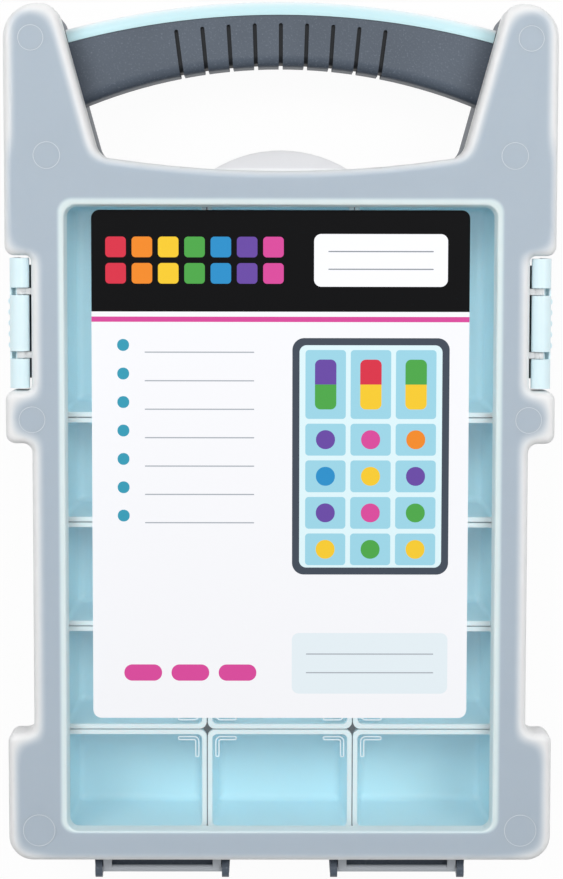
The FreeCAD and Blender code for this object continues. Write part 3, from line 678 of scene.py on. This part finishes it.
# %% Paint the keepers' edge highlights
keeper_line = 0.5 * MM
select_only(lid_shell)
bpy.ops.object.mode_set(mode="EDIT")
bpy.ops.mesh.select_all(action="DESELECT")
bpy.ops.object.mode_set(mode="OBJECT")
for face in lid_shell.data.polygons:
    level = abs(face.normal.z) > level_share
    if within_window(face) and level and face.center.z < window_under - hair:
        face.material_index = painted_highlight_slot
        face.select = True
bpy.ops.object.mode_set(mode="EDIT")
bpy.ops.mesh.inset(thickness=keeper_line)
bpy.ops.object.mode_set(mode="OBJECT")
for face in lid_shell.data.polygons:
    if face.select:
        face.material_index = clear_slot
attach(lid_shell, "lid")
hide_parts("lid")
print("lid:", len(lid_shell.data.polygons), "faces with the keepers' outlines")

# %% [markdown]
# ## The grip's soft edges
# No moulded edge is sharp. The grip's grooves and its palm edge each show a thin light line, where a
# small round turns some of its face to the light. A bevel limited by angle rounds just those edges.
# The grooves are narrow and deep, so shade falls into them: their faces get a darker, duller finish,
# a painted shade. They are found by their turn about the middle of the grip's arc.

# %% Round the grip's edges
edge_round = 0.35 * MM
grip = merged_copy(nodes["handle_grip"], "grip_moulding")
bpy.ops.object.mode_set(mode="EDIT")
bpy.ops.mesh.tris_convert_to_quads(face_threshold=flat_angle, shape_threshold=math.pi)
bpy.ops.object.mode_set(mode="OBJECT")
bpy.ops.object.modifier_add(type="BEVEL")
grip.modifiers[-1].width = edge_round
grip.modifiers[-1].segments = 2
grip.modifiers[-1].angle_limit = crease_angle
bpy.ops.object.modifier_apply(modifier=grip.modifiers[-1].name)
shade_moulding(grip)
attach(grip, "base")
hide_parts("handle_grip")
print("grip:", len(grip.data.polygons), "faces")

# %% Darken the grooves
grip_low, grip_high = (Vector(corner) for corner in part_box("handle_grip"))
grip_radius = 346.0 * MM
groove_pitch = 11.15 * MM
groove_half = 0.85 * MM
outer_groove = 4
groove_turn = groove_pitch / grip_radius
# Painted shade: a near-black, duller finish on the groove faces, where shade falls
painted_groove_shade = new_finish("groove_shade_polypropylene", Base_Color=linear("#1A1E24"), Roughness=0.6,
                   IOR=plastic_ior)[0]
grip.data.materials.append(painted_groove_shade)
for face in grip.data.polygons:
    sunk = grip_low.z + hair < face.center.z < grip_high.z - hair
    turn = math.atan2(face.center.x, face.center.y - grip_high.y + grip_radius)
    groove = round(turn / groove_turn)
    off_middle = abs(turn - groove * groove_turn) * grip_radius
    if sunk and abs(groove) <= outer_groove and off_middle < groove_half + hair:
        face.material_index = 1
print("grooves:", sum(face.material_index for face in grip.data.polygons), "faces")

# %% [markdown]
# ## Ejector marks
# Pins push the lid out of its mould and leave eight faint rings on the border. Each is a thin torus,
# flattened in edit mode so that it stands a hair proud of the face, and all are joined into one piece.

# %% Rings on the lid
ring_sizes = [(103.4 * MM, 170.1 * MM, 5.2 * MM), (97.1 * MM, 121.9 * MM, 5.5 * MM),
              (103.8 * MM, 12.0 * MM, 5.4 * MM), (102.0 * MM, -162.6 * MM, 6.7 * MM)]
ring_width = 0.3 * MM
ring_flat_share = 0.25
marks = []
for across, along, radius in ring_sizes:
    for side in (-1, 1):
        middle = Vector((side * across, along, lid_high.z))
        bpy.ops.object.select_all(action="DESELECT")
        bpy.ops.mesh.primitive_torus_add(location=middle, major_radius=radius, minor_radius=ring_width / 2,
                                         major_segments=48, minor_segments=8)
        bpy.ops.object.transform_apply(location=True)
        bpy.ops.object.mode_set(mode="EDIT")
        bpy.ops.mesh.select_all(action="SELECT")
        bpy.ops.transform.resize(value=(1, 1, ring_flat_share), center_override=middle)
        bpy.ops.object.mode_set(mode="OBJECT")
        marks.append(bpy.context.object)
print("made", len(marks), "rings")

# %% Join the rings
bpy.ops.object.select_all(action="DESELECT")
for mark in marks:
    mark.select_set(True)
bpy.context.view_layer.objects.active = marks[0]
bpy.ops.object.join()
rings = bpy.context.object
rings.name = "ejector_rings"
bpy.ops.object.shade_smooth()
rings.data.materials.append(new_finish("ejector_line_polypropylene", Base_Color=linear("#DCE4EB"),
                                       Roughness=0.3, IOR=plastic_ior)[0])
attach(rings, "lid")
print("rings:", len(rings.data.polygons), "faces, origin", tuple(rings.location))

# %% [markdown]
# ## The floor, the light and the camera
# The case lies on its back on a white sheet, lit from all round by a pale world and two large soft
# lamps. A white sheet would need more light than suits the case, so the floor and the room glow just
# where they are seen, and the floor in reflections too. The lamps stand off to the sides, so that the
# lid's gloss doesn't wash out the label. The camera stands above the handle end and looks back a little.

# %% Floor
floor_size = 8.0
glow_share = 0.96


def seen_by(owner, rays):
    """A socket that is 1 for these kinds of ray."""
    path = add_node(owner, "ShaderNodeLightPath", {}, {})
    seen = path.outputs[rays[0]]
    for ray in rays[1:]:
        seen = add_node(owner, "ShaderNodeMath", {"operation": "MAXIMUM"},
                        {0: seen, 1: path.outputs[ray]}).outputs[0]
    return seen


bpy.ops.object.select_all(action="DESELECT")
bpy.ops.mesh.primitive_plane_add(size=floor_size, location=(0, 0, 0))
floor = bpy.context.object
floor.name = "floor_sheet"
sweep, sweep_shader = new_finish("white_paper_sweep", Base_Color=linear("#F4F4F4"), Roughness=0.9)
sweep_seen = seen_by(sweep, ["Is Camera Ray", "Is Transmission Ray", "Is Glossy Ray"])
share = add_node(sweep, "ShaderNodeMath", {"operation": "MULTIPLY", 1: glow_share}, {0: sweep_seen})
glow = add_node(sweep, "ShaderNodeEmission", {"Strength": 1.0}, {})
mix = add_node(sweep, "ShaderNodeMixShader", {},
               {0: share.outputs[0], 1: sweep_shader.outputs[0], 2: glow.outputs[0]})
sweep.node_tree.links.new(mix.outputs[0], sweep.node_tree.nodes["Material Output"].inputs[0])
floor.data.materials.append(sweep)
print("floor at height", floor.location.z)

# %% World and lamps
room_light = 0.45
world = bpy.data.worlds.new("pale_room")
bpy.context.scene.world = world
world.use_nodes = True
room = world.node_tree.nodes["Background"]
room.inputs["Color"].default_value = linear("#F9FAFB")
room_seen = seen_by(world, ["Is Camera Ray", "Is Transmission Ray"])
strength = add_node(world, "ShaderNodeMapRange", {"To Min": room_light, "To Max": 1.0}, {"Value": room_seen})
world.node_tree.links.new(strength.outputs[0], room.inputs["Strength"])


def soft_lamp(name, place, size, power):
    """A square lamp that faces the middle of the case."""
    bpy.ops.object.light_add(type="AREA", location=place)
    lamp = bpy.context.object
    lamp.name = name
    lamp.data.size = size
    lamp.data.energy = power
    lamp.rotation_euler = (-Vector(place)).to_track_quat("-Z", "Y").to_euler()


lamp_size = 0.7
soft_lamp("left_lamp", (-0.75, 0.65, 1.4), lamp_size, 11.2)
soft_lamp("right_lamp", (0.75, 0.5, 1.4), lamp_size, 10.2)

# %% Camera
camera_place = Vector((-4.3, 92.1, 1077.0)) * MM
camera_aim = Vector((0.5, 3.1, 50.0)) * MM
camera_roll = 0.0017
camera_lens = 100.06
camera_sensor = 36.0
bpy.ops.object.camera_add(location=camera_place)
camera = bpy.context.object
forward = (camera_aim - camera_place).normalized()
right = forward.cross(Vector((0, 1, 0))).normalized()
upward = right.cross(forward)
turned = Matrix.Rotation(-camera_roll, 3, forward)
axes = Matrix((turned @ right, turned @ upward, -forward)).transposed()
camera.rotation_euler = axes.to_euler()
camera.data.lens = camera_lens
camera.data.sensor_width = camera_sensor
bpy.context.scene.camera = camera
bpy.context.scene.view_settings.view_transform = "Standard"
print("camera at", tuple(round(v, 3) for v in camera.location))
